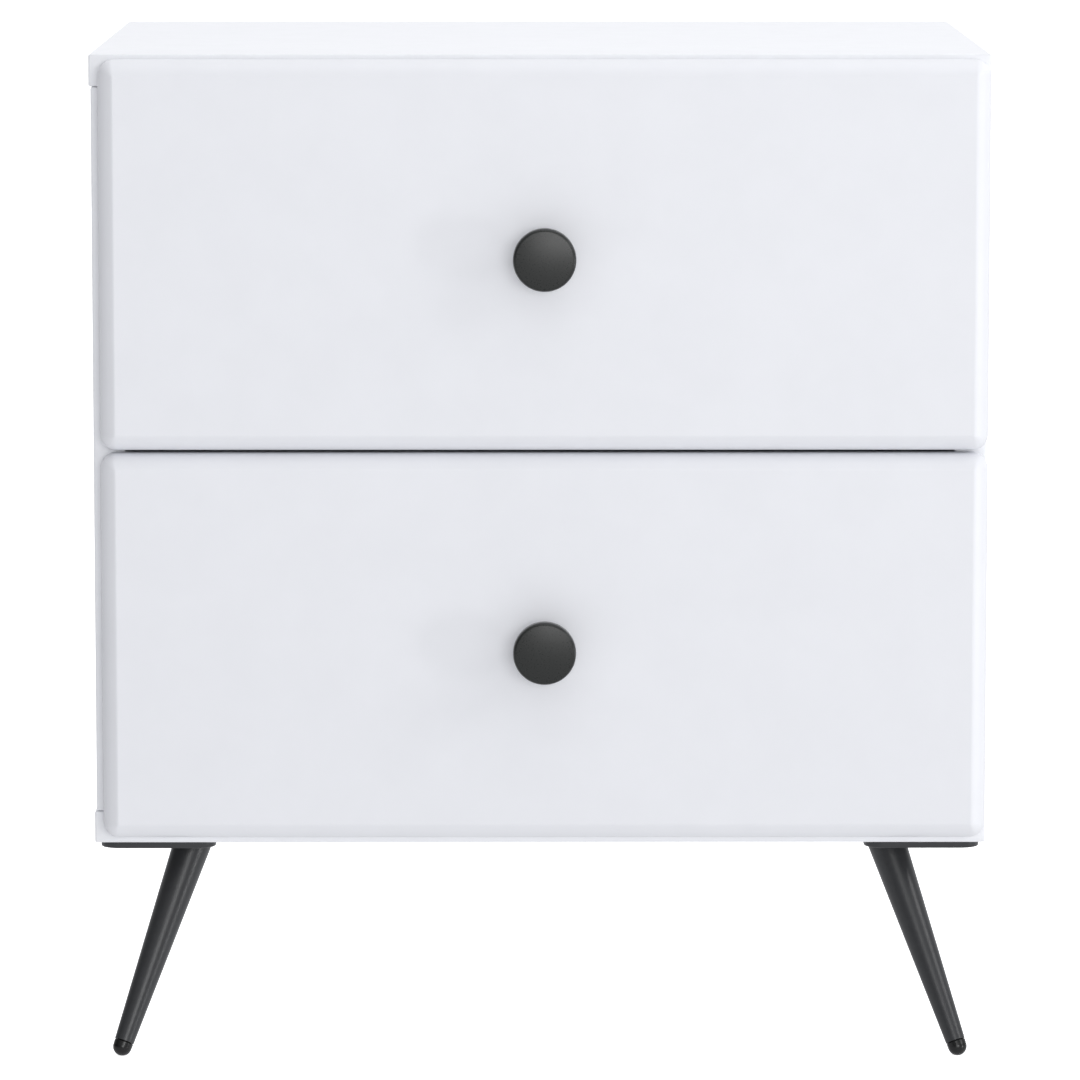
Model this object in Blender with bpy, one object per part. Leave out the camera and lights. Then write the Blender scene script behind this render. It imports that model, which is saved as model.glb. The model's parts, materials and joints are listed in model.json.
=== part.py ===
"""Nightstand with two drawers on four splayed, tapered steel legs.

Metres, +Z up. The drawer fronts face -Y. The origin is on the floor, in the middle of the object's outline.
"""

import math

import bmesh
import bpy
from mathutils import Matrix, Vector

for leftover in list(bpy.data.objects):
    bpy.data.objects.remove(leftover, do_unlink=True)

# ---- Driving dimensions ----------------------------------------------------------------------------------

GAP = 0.0003  # left between pieces that touch

# Carcass: top and bottom boards over and under two side boards, with a thin back in grooves.
WIDTH = 0.450
DEPTH = 0.334
BODY_HEIGHT = 0.398
BOARD = 0.016
ARRIS = 0.0008  # rounding of the banded board edges
SIDE_RECESS = 0.001  # the side boards stand this far inside the top and bottom boards
BACK_THICKNESS = 0.003
BACK_INSET = 0.008  # from the carcass's rear to the back's groove
BACK_GROOVE_DEPTH = 0.006

# Drawer fronts, laid over the carcass.
FRONT_THICKNESS = 0.016
FRONT_CORNER = 0.008  # radius of the corners, seen from the front
FRONT_EDGE = 0.0078  # width of the pillow edge, seen from the front
FRONT_EDGE_DEPTH = 0.010
FRONT_EDGE_BREAK = 25.0  # degrees of the pillow edge's arc left out where it meets the flat face
FRONT_STAND_OFF = 0.0005  # from the carcass to the fronts' rear faces
REVEAL_LEFT = 0.0050
REVEAL_RIGHT = 0.0006
REVEAL_TOP = 0.0023
REVEAL_BOTTOM = 0.0041
FRONT_SPACING = 0.0015  # between the two fronts

# Drawer boxes.
BOX_BOARD = 0.012
BOX_ARRIS = 0.0005
BOX_RISE = 0.030  # from a front's lower edge to its box
BOX_DROP = 0.0294  # from a front's upper edge down to its box
BOX_REAR_SPACE = 0.0216  # behind a closed box
BOTTOM_THICKNESS = 0.003
BOTTOM_RISE = 0.010  # from the box's lower edge to the bottom's groove
BOTTOM_GROOVE_DEPTH = 0.005

# Roller runners: a channel on the carcass, a flanged rail on the drawer, one roller on each.
RUNNER_SPACE = 0.0125  # between a carcass side and a drawer side
STEEL = 0.0012
ROLLER_RADIUS = 0.008
ROLLER_SIDE_PLAY = 0.0003
AXLE_RADIUS = 0.002
AXLE_PLAY = 0.00015  # between an axle and its roller's bore
SHOULDER_RADIUS = 0.003
SHOULDER_LENGTH = 0.0012  # holds a roller off the web that carries its axle
RIVET_RADIUS = 0.0032
RIVET_THICKNESS = 0.0006
CHANNEL_TO_RAIL = 0.0015  # from the channel's flanges to the rail's web
RAIL_TO_CHANNEL = 0.0025  # from the rail's flange to the channel's web
RAIL_LIFT = 0.0008  # from the rail's flange up to the channel's lip
RAIL_UNDER_BOX = 0.0098  # the rail's lower flange, under the drawer side
RAIL_TO_CHANNEL_FLOOR = 0.003  # from the box's lower edge up to the channel's floor
CHANNEL_SET_BACK = 0.002  # from the carcass's front
CHANNEL_PAST_BOX = 0.0022  # behind a closed box, with the channel's end stop
RAIL_SET_BACK = 0.0010  # from the box's front and rear ends
FRONT_AXLE_SET_BACK = 0.012  # from the channel's front end
REAR_AXLE_SET_BACK = 0.010  # from the rail's rear end

# Knobs.
KNOB_RADIUS = 0.01575
KNOB_PROJECTION = 0.021
KNOB_FOOT_RADIUS = 0.0092
KNOB_FOOT_THICKNESS = 0.0012
KNOB_NECK_RADIUS = 0.0068
KNOB_FLARE = 0.0022  # where the neck widens into the foot and into the head
KNOB_HEAD_THICKNESS = 0.0085
KNOB_UNDERCUT = 0.0035  # from the rim in to where the head's underside levels out
KNOB_RIM_RADIUS = 0.0026
KNOB_CROWN = 0.0009  # rise of the domed face
KNOB_BORE_RADIUS = 0.0022
KNOB_BORE_DEPTH = 0.012
KNOB_SCREW_RADIUS = 0.0019
KNOB_SCREW_HOLE_RADIUS = 0.0024

# Legs: each is a tapered tube on a square plate, with a plug-in cap.
LEG_HEIGHT = 0.112
PLATE_SIZE = 0.0582
PLATE_THICKNESS = 0.0032
PLATE_CORNER = 0.009
PLATE_ARRIS = 0.0006
PLATE_INSET = 0.0025  # from the carcass edges
LEG_TOP_IN = 0.0486  # from the carcass edges to the leg's middle, at the plate
LEG_FOOT_IN = 0.0122  # from the carcass edges to the leg's middle, at the foot
LEG_TOP_RADIUS = 0.0099
LEG_FOOT_RADIUS = 0.0050
LEG_WALL = 0.0013
CAP_RADIUS = 0.0048
CAP_LIP_IN = 0.0001  # from the tube's outside in to the cap's lip
CAP_FLAT_DROP = 0.0044  # from the middle of the cap's ball down to the floor
CAP_COLLAR = 0.0026  # of the cap that shows above its ball's middle
CAP_STEM = 0.011
CAP_STEM_PLAY = 0.00035

# Screws: sunk heads in the leg plates, and pan heads behind the knobs.
SCREW_TIP = 0.0008
SCREW_RADIUS = 0.0018
SCREW_HOLE_RADIUS = 0.0022
SCREW_COVER = 0.0015  # of board left over the leg screws' holes, under the back's groove
SCREW_EDGE = 0.0095  # from the plate's edges
SUNK_HEAD_RADIUS = 0.0036
SUNK_HEAD_LAND = 0.0003  # the head's straight rim, under its cone of 90 degrees
SUNK_HEAD_DEPTH = 0.0002  # from the plate's face in to the head's
PAN_HEAD_RADIUS = 0.004
PAN_HEAD_HEIGHT = 0.0022
PAN_HEAD_CROWN = (0.75, 0.6)  # shares of the head's radius and height where its crown starts

FINE, ROUND, SMALL = 32, 24, 12  # sides of the round pieces

# ---- Worked out from them --------------------------------------------------------------------------------

TOTAL_DEPTH = DEPTH + FRONT_STAND_OFF + FRONT_THICKNESS + GAP + KNOB_PROJECTION
REAR_Y = TOTAL_DEPTH / 2
CARCASS_Y = REAR_Y - DEPTH
FRONT_Y = CARCASS_Y - FRONT_STAND_OFF
TOP_Z = LEG_HEIGHT + BODY_HEIGHT
INNER_X = WIDTH / 2 - SIDE_RECESS - BOARD
FLOOR_Z = LEG_HEIGHT + BOARD
CEILING_Z = TOP_Z - BOARD
BACK_SLOT = BACK_THICKNESS + 2 * GAP

FRONT_HEIGHT = (BODY_HEIGHT - REVEAL_TOP - REVEAL_BOTTOM - FRONT_SPACING) / 2
FRONT_MIDDLE_X = (REVEAL_LEFT - REVEAL_RIGHT) / 2
BOX_X = INNER_X - RUNNER_SPACE
BOX_INNER_X = BOX_X - BOX_BOARD
BOX_TOP = FRONT_HEIGHT - BOX_DROP
BOX_START = GAP
BOX_END = FRONT_STAND_OFF + DEPTH - BACK_INSET - BACK_SLOT - BOX_REAR_SPACE

CHANNEL_FLOOR = BOX_RISE + RAIL_TO_CHANNEL_FLOOR
AXLE_HEIGHT = CHANNEL_FLOOR + GAP + ROLLER_RADIUS
RAIL_FLANGE = AXLE_HEIGHT + ROLLER_RADIUS + GAP
CHANNEL_LIP = RAIL_FLANGE + STEEL + RAIL_LIFT
CHANNEL_WEB = GAP + STEEL
RAIL_WEB = RUNNER_SPACE - GAP - STEEL
CHANNEL_EDGE = RAIL_WEB - CHANNEL_TO_RAIL
RAIL_EDGE = CHANNEL_WEB + RAIL_TO_CHANNEL
ROLLER_START = CHANNEL_WEB + SHOULDER_LENGTH + ROLLER_SIDE_PLAY
ROLLER_END = CHANNEL_EDGE - RIVET_THICKNESS
CHANNEL_START = FRONT_STAND_OFF + CHANNEL_SET_BACK
CHANNEL_END = BOX_END + CHANNEL_PAST_BOX
RAIL_START = BOX_START + RAIL_SET_BACK
RAIL_END = BOX_END - RAIL_SET_BACK

PLATE_Z = -GAP - PLATE_THICKNESS
PLATE_FAR = PLATE_INSET + PLATE_SIZE
SCREW_NEAR, SCREW_FAR = PLATE_INSET + SCREW_EDGE, PLATE_FAR - SCREW_EDGE
SCREW_PLACES = ((SCREW_NEAR, SCREW_NEAR), (SCREW_FAR, SCREW_NEAR), (SCREW_NEAR, SCREW_FAR))
SCREW_DEPTH = BOARD - BACK_GROOVE_DEPTH - SCREW_COVER - GAP  # into the bottom board
SCREW_SEAT = PLATE_Z + SUNK_HEAD_DEPTH  # the height of a sunk head's face

LEVELS = {
    "lower": LEG_HEIGHT + REVEAL_BOTTOM,
    "upper": LEG_HEIGHT + REVEAL_BOTTOM + FRONT_HEIGHT + FRONT_SPACING,
}
SIDES = {"left": -1, "right": 1}
CORNERS = {"front_left": (-1, 0), "front_right": (1, 90), "rear_right": (1, 180), "rear_left": (-1, 270)}


# ---- Materials -------------------------------------------------------------------------------------------


def material(name, colour, roughness, metallic=0.0):
    made = bpy.data.materials.new(name)
    made.use_nodes = True
    shader = made.node_tree.nodes["Principled BSDF"]
    shader.inputs["Base Color"].default_value = (*colour, 1.0)
    shader.inputs["Roughness"].default_value = roughness
    shader.inputs["Metallic"].default_value = metallic
    made.diffuse_color = (*colour, 1.0)
    return made


MELAMINE = material("white_melamine_board", (0.86, 0.86, 0.88), 0.45)
FOIL = material("white_foil_front", (0.80, 0.81, 0.84), 0.40)
HARDBOARD = material("white_hardboard", (0.82, 0.82, 0.82), 0.60)
BOX_MELAMINE = material("white_drawer_board", (0.84, 0.84, 0.85), 0.50)
RUNNER_STEEL = material("white_coated_steel", (0.80, 0.80, 0.79), 0.35)
NYLON = material("white_nylon", (0.75, 0.75, 0.72), 0.45)
ZINC = material("zinc_plated_steel", (0.62, 0.62, 0.60), 0.35, 1.0)
LEG_STEEL = material("anthracite_coated_steel", (0.062, 0.064, 0.068), 0.35)
CAP_PLASTIC = material("black_plastic", (0.012, 0.012, 0.012), 0.30)
KNOB_METAL = material("dark_grey_lacquered_metal", (0.055, 0.057, 0.056), 0.35)


# ---- Making pieces ---------------------------------------------------------------------------------------


def block(low, high, arris=0.0, segments=1):
    """A box between two corners, with its edges rounded."""
    low, high = Vector(low), Vector(high)
    bm = bmesh.new()
    bmesh.ops.create_cube(bm, size=1.0)
    bmesh.ops.scale(bm, vec=high - low, verts=bm.verts)
    bmesh.ops.translate(bm, vec=middle(low, high), verts=bm.verts)
    if arris:
        bmesh.ops.bevel(bm, geom=bm.edges, offset=arris, segments=segments, profile=0.5, affect="EDGES")
    return bm


def extruded(outline, start, end):
    """A closed (x, z) outline carried along Y."""
    bm = bmesh.new()
    face = bm.faces.new([bm.verts.new((x, start, z)) for x, z in outline])
    grown = bmesh.ops.extrude_face_region(bm, geom=[face])["geom"]
    moved = [item for item in grown if isinstance(item, bmesh.types.BMVert)]
    bmesh.ops.translate(bm, vec=(0, end - start, 0), verts=moved)
    bmesh.ops.recalc_face_normals(bm, faces=bm.faces)
    return bm


def turned(profile, sides, ring=False):
    """(radius, height) points spun about Z. A ring's profile closes on itself; any other ends on the axis."""
    bm = bmesh.new()
    verts = [bm.verts.new((radius, 0, height)) for radius, height in profile]
    ends = verts[1:] + verts[:1] if ring else verts[1:]
    edges = [bm.edges.new(pair) for pair in zip(verts, ends)]
    bmesh.ops.spin(bm, geom=verts + edges, axis=(0, 0, 1), angle=2 * math.pi, steps=sides)
    bmesh.ops.remove_doubles(bm, verts=bm.verts, dist=1e-6)
    bmesh.ops.recalc_face_normals(bm, faces=bm.faces)
    return bm


def along(bm, start, end):
    """Turns a piece made along +Z to point from start to end, with its origin at start."""
    start = Vector(start)
    turn = Vector((0, 0, 1)).rotation_difference(Vector(end) - start).to_matrix().to_4x4()
    bmesh.ops.transform(bm, matrix=Matrix.Translation(start) @ turn, verts=bm.verts)
    return bm


def rod(start, end, radius, sides=SMALL):
    """A round rod between two points."""
    length = (Vector(end) - Vector(start)).length
    return along(turned([(0, 0), (radius, 0), (radius, length), (0, length)], sides), start, end)


def joined(*pieces):
    """Several shapes that don't meet, as one cutting shape."""
    whole = bmesh.new()
    for piece in pieces:
        mesh = bpy.data.meshes.new("scratch")
        piece.to_mesh(mesh)
        piece.free()
        whole.from_mesh(mesh)
        bpy.data.meshes.remove(mesh)
    return whole


def arc(centre_r, centre_h, radius, from_deg, to_deg, steps):
    """Points on an arc in a flat outline, by angle from the first axis."""
    angles = [math.radians(from_deg + (to_deg - from_deg) * step / steps) for step in range(steps + 1)]
    return [(centre_r + radius * math.cos(a), centre_h + radius * math.sin(a)) for a in angles]


def lofted(rings):
    """A closed skin over rings of points that match one to one, with a face on each end."""
    bm = bmesh.new()
    loops = [[bm.verts.new(point) for point in ring] for ring in rings]
    for near, far in zip(loops, loops[1:]):
        for i, vert in enumerate(near):
            bm.faces.new((near[i - 1], vert, far[i], far[i - 1]))
    bm.faces.new(loops[0])
    bm.faces.new(loops[-1])
    bmesh.ops.recalc_face_normals(bm, faces=bm.faces)
    return bm


def put(name, bm, finish, origin=(0, 0, 0), parent=None, smooth=False):
    """Makes the node, with its origin at a point of its parent's frame."""
    bmesh.ops.translate(bm, vec=-Vector(origin), verts=bm.verts)
    mesh = bpy.data.meshes.new(name)
    bm.to_mesh(mesh)
    bm.free()
    if finish:
        mesh.materials.append(finish)
    if smooth:
        mesh.shade_smooth()
        mesh.set_sharp_from_angle(angle=math.radians(32))
    piece = bpy.data.objects.new(name, mesh)
    bpy.context.scene.collection.objects.link(piece)
    piece.location = origin
    piece.parent = parent
    return piece


def shape(piece, operation, name, bm):
    """Cuts a shape from a node or welds one on to it. The shape is in the frame of the node's parent."""
    tool = put(f"{piece.name}_{name}", bm, None, piece.location, piece.parent)
    tool.hide_render = True
    tool.display_type = "WIRE"
    boolean = piece.modifiers.new(name, "BOOLEAN")
    boolean.operation = operation
    boolean.solver = "EXACT"
    boolean.object = tool


def frame(name, location=(0, 0, 0), turn=0.0):
    """An empty that carries an assembly."""
    empty = bpy.data.objects.new(name, None)
    empty.empty_display_size = 0.03
    empty.location = location
    empty.rotation_euler.z = math.radians(turn)
    bpy.context.scene.collection.objects.link(empty)
    return empty


def middle(low, high):
    return (Vector(low) + Vector(high)) / 2


# ---- Carcass ---------------------------------------------------------------------------------------------


def board(name, low, high, finish, arris=ARRIS, segments=2, parent=None):
    return put(name, block(low, high, arris, segments), finish, middle(low, high), parent)


def carcass():
    """Five boards: the back stands in a groove that runs all round the inside."""
    half = WIDTH / 2
    side = half - SIDE_RECESS
    slot = (REAR_Y - BACK_INSET - BACK_SLOT, REAR_Y - BACK_INSET)
    slot_x = INNER_X + BACK_GROOVE_DEPTH

    bottom = board("bottom_panel", (-half, CARCASS_Y, LEG_HEIGHT), (half, REAR_Y, FLOOR_Z), MELAMINE)
    top = board("top_panel", (-half, CARCASS_Y, CEILING_Z), (half, REAR_Y, TOP_Z), MELAMINE)
    shape(bottom, "DIFFERENCE", "back_groove", block(
        (-slot_x, slot[0], FLOOR_Z - BACK_GROOVE_DEPTH), (slot_x, slot[1], FLOOR_Z + GAP)))
    shape(top, "DIFFERENCE", "back_groove", block(
        (-slot_x, slot[0], CEILING_Z - GAP), (slot_x, slot[1], CEILING_Z + BACK_GROOVE_DEPTH)))
    shape(bottom, "DIFFERENCE", "leg_screw_holes", joined(*leg_screw_holes()))

    for name, sign in SIDES.items():
        near, far = sorted((sign * INNER_X, sign * side))
        panel = board(
            f"side_panel_{name}", (near, CARCASS_Y, FLOOR_Z + GAP), (far, REAR_Y, CEILING_Z - GAP), MELAMINE
        )
        near, far = sorted((sign * (INNER_X - GAP), sign * slot_x))
        shape(panel, "DIFFERENCE", "back_groove", block((near, slot[0], FLOOR_Z), (far, slot[1], CEILING_Z)))

    reach = BACK_GROOVE_DEPTH - 2 * GAP
    board(
        "back_panel",
        (-INNER_X - reach, slot[0] + GAP, FLOOR_Z - reach),
        (INNER_X + reach, slot[1] - GAP, CEILING_Z + reach),
        HARDBOARD,
        arris=0.0,
    )


def leg_screw_holes():
    """Blind holes in the bottom board, three over each leg plate."""
    for corner in CORNERS:
        place = corner_matrix(corner)
        for x, y in SCREW_PLACES:
            start = place @ Vector((x, y, -GAP))
            yield rod(start, start + Vector((0, 0, SCREW_DEPTH + 2 * GAP)), SCREW_HOLE_RADIUS)


# ---- Legs ------------------------------------------------------------------------------------------------


def corner_matrix(corner):
    """The frame of one carcass corner, on the bottom board's underside, with +X and +Y pointing inwards."""
    sign, turn = CORNERS[corner]
    y = REAR_Y if corner.startswith("rear") else CARCASS_Y
    return Matrix.Translation((sign * WIDTH / 2, y, LEG_HEIGHT)) @ Matrix.Rotation(math.radians(turn), 4, "Z")


LEG_TOP = Vector((LEG_TOP_IN, LEG_TOP_IN, PLATE_Z - GAP))
LEG_BALL = Vector((LEG_FOOT_IN, LEG_FOOT_IN, CAP_FLAT_DROP - LEG_HEIGHT))
LEG_TURN = Vector((0, 0, 1)).rotation_difference(LEG_TOP - LEG_BALL)
LEG_LENGTH = (LEG_TOP - LEG_BALL).length


def leg_plate():
    """A square plate with round corners and an eased lower edge."""
    bm = block((PLATE_INSET, PLATE_INSET, PLATE_Z), (PLATE_FAR, PLATE_FAR, -GAP))
    upright = [e for e in bm.edges if abs(e.verts[0].co.z - e.verts[1].co.z) > PLATE_THICKNESS / 2]
    bmesh.ops.bevel(bm, geom=upright, offset=PLATE_CORNER, segments=6, profile=0.5, affect="EDGES")
    lower = [e for e in bm.edges if max(v.co.z for v in e.verts) < PLATE_Z + PLATE_THICKNESS / 2]
    bmesh.ops.bevel(bm, geom=lower, offset=PLATE_ARRIS, segments=1, profile=0.5, affect="EDGES")
    return bm


def leg_tube():
    """A tapered tube about Z from its foot, long enough to be cut off level under the plate."""
    start, end = CAP_COLLAR + GAP, LEG_LENGTH + LEG_TOP_RADIUS

    def outside(height):
        return LEG_FOOT_RADIUS + (LEG_TOP_RADIUS - LEG_FOOT_RADIUS) * (height - start) / (LEG_LENGTH - start)

    wall = [(outside(start), start), (outside(end), end), (outside(end) - LEG_WALL, end)]
    bm = turned(wall + [(outside(start) - LEG_WALL, start)], ROUND, ring=True)
    level = LEG_TURN.inverted() @ Vector((0, 0, 1))
    cut_off(bm, Vector((0, 0, LEG_LENGTH)), level)
    return bm


def leg_cap():
    """A plug with a ball end, cut off flat where it stands on the floor."""
    inside = LEG_FOOT_RADIUS - LEG_WALL - CAP_STEM_PLAY
    ball = arc(0, 0, CAP_RADIUS, -90, 0, 6)
    lip = LEG_FOOT_RADIUS - CAP_LIP_IN
    collar = [(lip, CAP_COLLAR), (inside, CAP_COLLAR), (inside, CAP_COLLAR + CAP_STEM)]
    bm = turned([(0, ball[0][1]), *ball[1:], *collar, (0, CAP_COLLAR + CAP_STEM)], 20)
    down = LEG_TURN.inverted() @ Vector((0, 0, -1))
    cut_off(bm, down * CAP_FLAT_DROP, down)
    return bm


def cut_off(bm, point, normal):
    """Removes what lies past a plane and closes the cut: a face for one loop, a ring of wall for two."""
    everything = [*bm.verts, *bm.edges, *bm.faces]
    cut = bmesh.ops.bisect_plane(bm, geom=everything, plane_co=point, plane_no=normal, clear_outer=True)
    rim = [item for item in cut["geom_cut"] if isinstance(item, bmesh.types.BMEdge)]
    filled = bmesh.ops.holes_fill(bm, edges=rim)["faces"]
    if len(filled) == 2:
        bmesh.ops.delete(bm, geom=filled, context="FACES_ONLY")
        bmesh.ops.bridge_loops(bm, edges=rim)
    bmesh.ops.recalc_face_normals(bm, faces=bm.faces)


def pan_screw(shank, shank_radius):
    """A screw about Z: its head hangs below the origin, its shank rises from it."""
    low = -PAN_HEAD_HEIGHT
    return turned(
        [
            (0, low),
            (PAN_HEAD_RADIUS * PAN_HEAD_CROWN[0], low),
            (PAN_HEAD_RADIUS, low * PAN_HEAD_CROWN[1]),
            (PAN_HEAD_RADIUS, 0),
            (shank_radius, 0),
            (shank_radius, shank - SCREW_TIP),
            (0, shank),
        ],
        SMALL,
    )


def sunk_screw(length):
    """A screw about Z, standing on the face of its sunk head."""
    neck = SUNK_HEAD_LAND + SUNK_HEAD_RADIUS - SCREW_RADIUS
    head = [(0, 0), (SUNK_HEAD_RADIUS, 0), (SUNK_HEAD_RADIUS, SUNK_HEAD_LAND)]
    shank = [(SCREW_RADIUS, neck), (SCREW_RADIUS, length - SCREW_TIP), (0, length)]
    return turned(head + shank, SMALL)


def sunk_hole():
    """What a sunk screw takes out of its plate: the screw's shape with a gap left all round its head."""
    wide = SUNK_HEAD_RADIUS + GAP
    cone = SUNK_HEAD_LAND + (math.sqrt(2) - 1) * GAP
    low, high = -SUNK_HEAD_DEPTH - GAP, PLATE_THICKNESS
    seat = [(0, low), (wide, low), (wide, cone)]
    hole = [(SCREW_HOLE_RADIUS, cone + wide - SCREW_HOLE_RADIUS), (SCREW_HOLE_RADIUS, high), (0, high)]
    return turned(seat + hole, SMALL)


def leg(corner):
    carrier = frame(f"corner_{corner}")
    carrier.matrix_world = corner_matrix(corner)
    plate = put(f"leg_plate_{corner}", leg_plate(), LEG_STEEL, (0, 0, 0), carrier)
    seats = [Vector((x, y, SCREW_SEAT)) for x, y in SCREW_PLACES]
    holes = [along(sunk_hole(), seat, seat + Vector((0, 0, 1))) for seat in seats]
    shape(plate, "DIFFERENCE", "screw_holes", joined(*holes))
    for name, bm, finish in (("tube", leg_tube(), LEG_STEEL), ("cap", leg_cap(), CAP_PLASTIC)):
        piece = put(f"leg_{name}_{corner}", bm, finish, (0, 0, 0), carrier, smooth=True)
        piece.location = LEG_BALL
        piece.rotation_euler = LEG_TURN.to_euler()
    for count, seat in enumerate(seats, 1):
        screw = sunk_screw(SCREW_DEPTH - SCREW_SEAT)
        screw = put(f"leg_screw_{corner}_{count}", screw, ZINC, (0, 0, 0), carrier, smooth=True)
        screw.location = seat


# ---- Drawers ---------------------------------------------------------------------------------------------
# A drawer's frame has its origin on its front's rear face, at that front's lower edge, mid-carcass.


def slab_outline(inset, y):
    """The front's outline, drawn in by an inset at one depth, as a ring with four round corners."""
    left, right = -WIDTH / 2 + REVEAL_LEFT + FRONT_CORNER, WIDTH / 2 - REVEAL_RIGHT - FRONT_CORNER
    low, high = FRONT_CORNER, FRONT_HEIGHT - FRONT_CORNER
    centres = ((right, high), (left, high), (left, low), (right, low))
    ring = []
    for quarter, (x, z) in enumerate(centres):
        ring += arc(x, z, FRONT_CORNER - inset, 90 * quarter, 90 * quarter + 90, 4)
    return [(x, y, z) for x, z in ring]


def pillow_edge(steps):
    """(inset, y) points of an elliptical edge, smooth at the side and broken where it meets the flat face."""
    skipped = math.radians(FRONT_EDGE_BREAK)
    for step in range(steps + 1):
        angle = math.pi / 2 + (skipped - math.pi / 2) * step / steps
        inset = FRONT_EDGE * (1 - math.sin(angle)) / (1 - math.sin(skipped))
        yield inset, FRONT_EDGE_DEPTH * (1 - math.cos(angle) / math.cos(skipped)) - FRONT_THICKNESS


def front(level, carrier):
    """A pillow-edged slab, grooved for the drawer's bottom and bored for its knob."""
    rings = [slab_outline(0, 0), *(slab_outline(inset, y) for inset, y in pillow_edge(5))]
    place = Vector((FRONT_MIDDLE_X, 0, FRONT_HEIGHT / 2))
    slab = put(f"{level}_drawer_front", lofted(rings), FOIL, place, carrier, smooth=True)

    reach = BOX_INNER_X + BOTTOM_GROOVE_DEPTH
    slot = BOX_RISE + BOTTOM_RISE
    shape(slab, "DIFFERENCE", "bottom_groove", block(
        (-reach, -BOTTOM_GROOVE_DEPTH, slot), (reach, GAP, slot + BOTTOM_THICKNESS + 2 * GAP)))
    shape(slab, "DIFFERENCE", "knob_hole", rod(
        place + Vector((0, GAP, 0)), place - Vector((0, FRONT_THICKNESS + GAP, 0)), KNOB_SCREW_HOLE_RADIUS))
    return place


def knob(level, place, carrier):
    """A mushroom knob with a slightly domed face, and the screw that holds it from inside the drawer."""
    head = KNOB_PROJECTION - KNOB_CROWN - KNOB_HEAD_THICKNESS
    rim = KNOB_PROJECTION - KNOB_CROWN - KNOB_RIM_RADIUS
    face = [
        (KNOB_RADIUS * share, KNOB_PROJECTION - KNOB_CROWN * share**2) for share in (0.8, 0.5, 0.25, 0.0)
    ]
    profile = [
        (0, KNOB_BORE_DEPTH),
        (KNOB_BORE_RADIUS, KNOB_BORE_DEPTH),
        (KNOB_BORE_RADIUS, 0),
        (KNOB_FOOT_RADIUS, 0),
        (KNOB_FOOT_RADIUS, KNOB_FOOT_THICKNESS),
        (KNOB_NECK_RADIUS, KNOB_FOOT_THICKNESS + KNOB_FLARE),
        *arc(KNOB_NECK_RADIUS + KNOB_FLARE, head - KNOB_FLARE, KNOB_FLARE, 180, 90, 2),
        (KNOB_RADIUS - KNOB_UNDERCUT, head + KNOB_FLARE / 4),
        *arc(KNOB_RADIUS - KNOB_RIM_RADIUS, rim, KNOB_RIM_RADIUS, -30, 75, 5),
        *face,
    ]
    base = place - Vector((0, FRONT_THICKNESS + GAP, 0))
    out = Vector((0, -1, 0))
    handle = along(turned(profile, FINE), base, base + out)
    put(f"{level}_knob", handle, KNOB_METAL, base, carrier, smooth=True)

    seat = place + Vector((0, GAP, 0))
    shank = FRONT_THICKNESS + 2 * GAP + KNOB_BORE_DEPTH - SCREW_TIP
    screw = along(pan_screw(shank, KNOB_SCREW_RADIUS), seat, seat + out)
    put(f"{level}_knob_screw", screw, ZINC, seat, carrier, smooth=True)


def box(level, carrier):
    """Two sides and a back, with a thin bottom held in their grooves."""
    slot = BOX_RISE + BOTTOM_RISE
    slot_top = slot + BOTTOM_THICKNESS + 2 * GAP
    reach = BOX_INNER_X + BOTTOM_GROOVE_DEPTH
    back_face = BOX_END - BOX_BOARD
    for name, sign in SIDES.items():
        near, far = sorted((sign * BOX_INNER_X, sign * BOX_X))
        side = board(
            f"{level}_drawer_side_{name}",
            (near, BOX_START, BOX_RISE),
            (far, BOX_END, BOX_TOP),
            BOX_MELAMINE,
            BOX_ARRIS,
            1,
            carrier,
        )
        near, far = sorted((sign * (BOX_INNER_X - GAP), sign * reach))
        shape(side, "DIFFERENCE", "bottom_groove", block((near, 0, slot), (far, BOX_END + GAP, slot_top)))
    back = board(
        f"{level}_drawer_back",
        (-BOX_INNER_X + GAP, back_face, BOX_RISE),
        (BOX_INNER_X - GAP, BOX_END, BOX_TOP),
        BOX_MELAMINE,
        BOX_ARRIS,
        1,
        carrier,
    )
    shape(back, "DIFFERENCE", "bottom_groove", block(
        (-reach, back_face - GAP, slot), (reach, back_face + BOTTOM_GROOVE_DEPTH, slot_top)))
    board(
        f"{level}_drawer_bottom",
        (-reach + GAP, -BOTTOM_GROOVE_DEPTH + GAP, slot + GAP),
        (reach - GAP, back_face + BOTTOM_GROOVE_DEPTH - GAP, slot_top - GAP),
        HARDBOARD,
        0.0,
        1,
        carrier,
    )


# ---- Runners ---------------------------------------------------------------------------------------------
# Across a runner, distances are measured inwards from the carcass side's inner face.


def axle(x_web, x_roller, x_rivet, y, z):
    """A shouldered axle with a riveted end, from the web that carries it."""
    sign = 1 if x_rivet > x_web else -1
    shoulder = abs(x_roller - x_web) - ROLLER_SIDE_PLAY
    pin = abs(x_rivet - x_web)
    root = -STEEL / 2
    profile = [
        (0, root),
        (SHOULDER_RADIUS, root),
        (SHOULDER_RADIUS, shoulder),
        (AXLE_RADIUS, shoulder),
        (AXLE_RADIUS, pin),
        (RIVET_RADIUS, pin),
        (RIVET_RADIUS, pin + RIVET_THICKNESS),
        (0, pin + RIVET_THICKNESS),
    ]
    return along(turned(profile, SMALL), (x_web, y, z), (x_web + sign, y, z))


def roller():
    """A plain wheel about Z, bored for its axle."""
    width = ROLLER_END - ROLLER_START
    bore = AXLE_RADIUS + AXLE_PLAY
    profile = [(bore, -width / 2), (ROLLER_RADIUS, -width / 2), (ROLLER_RADIUS, width / 2), (bore, width / 2)]
    return turned(profile, ROUND, ring=True)


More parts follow.
